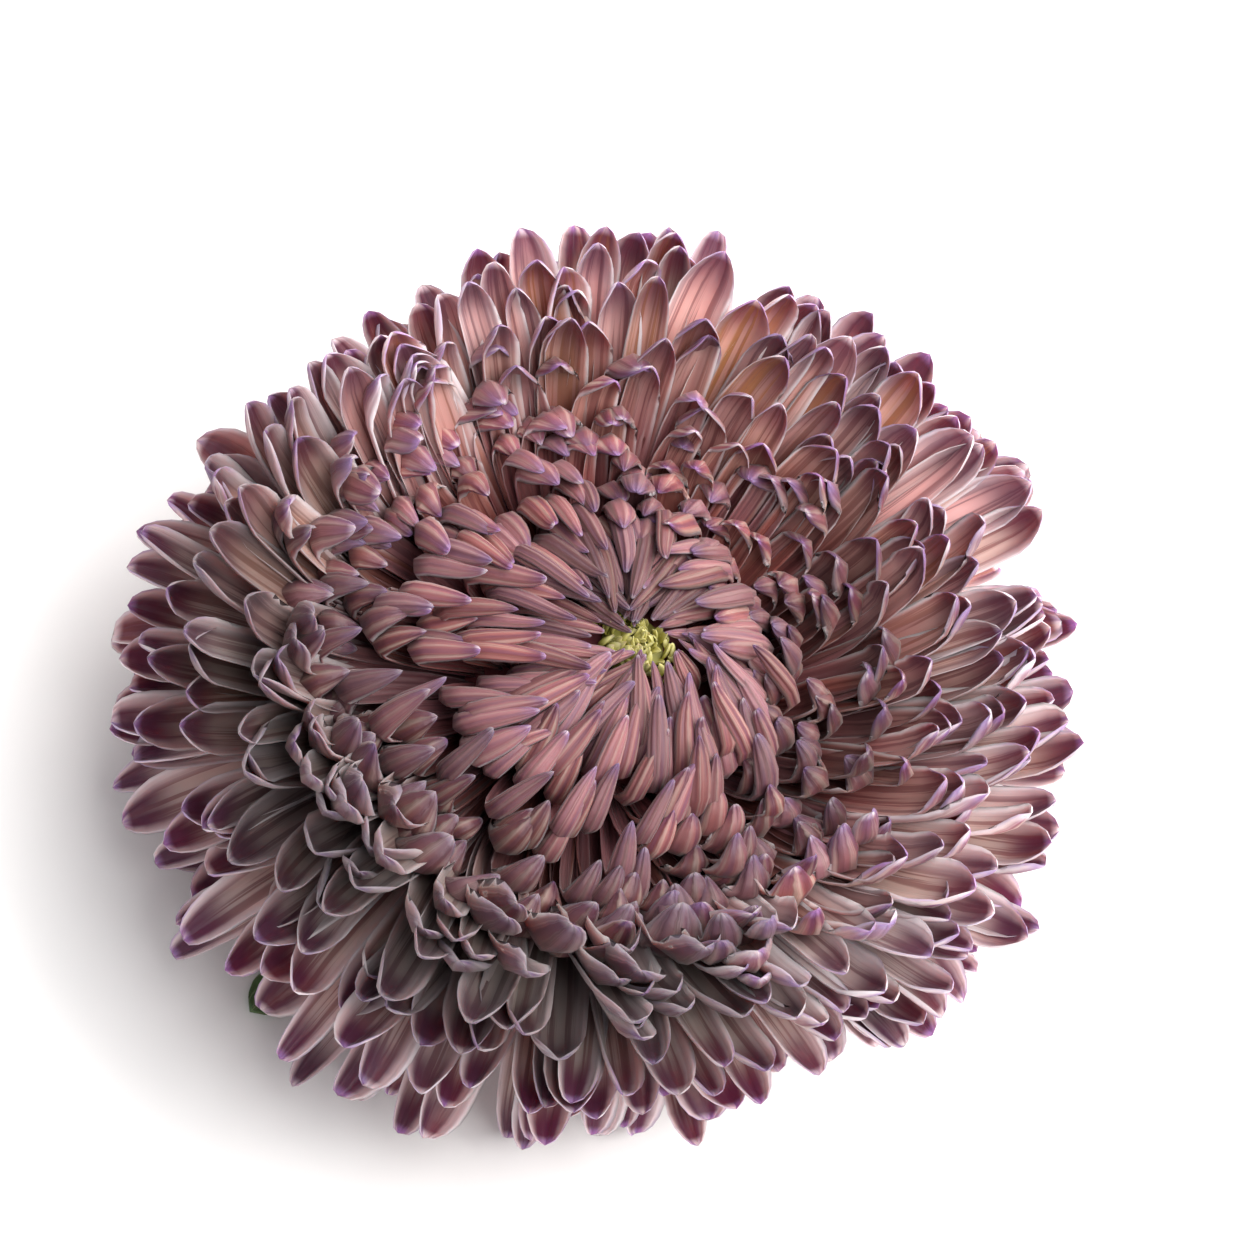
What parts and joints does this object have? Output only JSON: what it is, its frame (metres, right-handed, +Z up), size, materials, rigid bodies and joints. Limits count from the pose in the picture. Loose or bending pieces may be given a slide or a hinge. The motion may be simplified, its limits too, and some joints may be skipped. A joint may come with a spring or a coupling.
{
  "type": "pompon chrysanthemum bloom",
  "caption": "Large full chrysanthemum bloom with an incurved centre, spreading outer petals, a yellow-green eye and a short cut stem, set down face up.",
  "frame": {"origin": "centre of the flat cut end of the stem, on the table plane", "axes": "+Z up along the stem towards the eye of the bloom, -Y towards the side where the leaf lies"},
  "size_m": [0.1027, 0.1021, 0.0451],
  "materials": {
    "ray_petal": "soft matt petal, dusty pink and mauve",
    "disc_floret": "soft matt, yellow-green",
    "bract": "matt green with papery edges",
    "stem_skin": "matt green plant stem",
    "leaf_skin": "matt dark green leaf"
  },
  "bodies": {
    "root": {"ray_florets": "ray_petal", "disc_florets": "disc_floret", "involucre": "bract", "stem": "stem_skin", "leaf": "leaf_skin"}
  },
  "joints": []
}
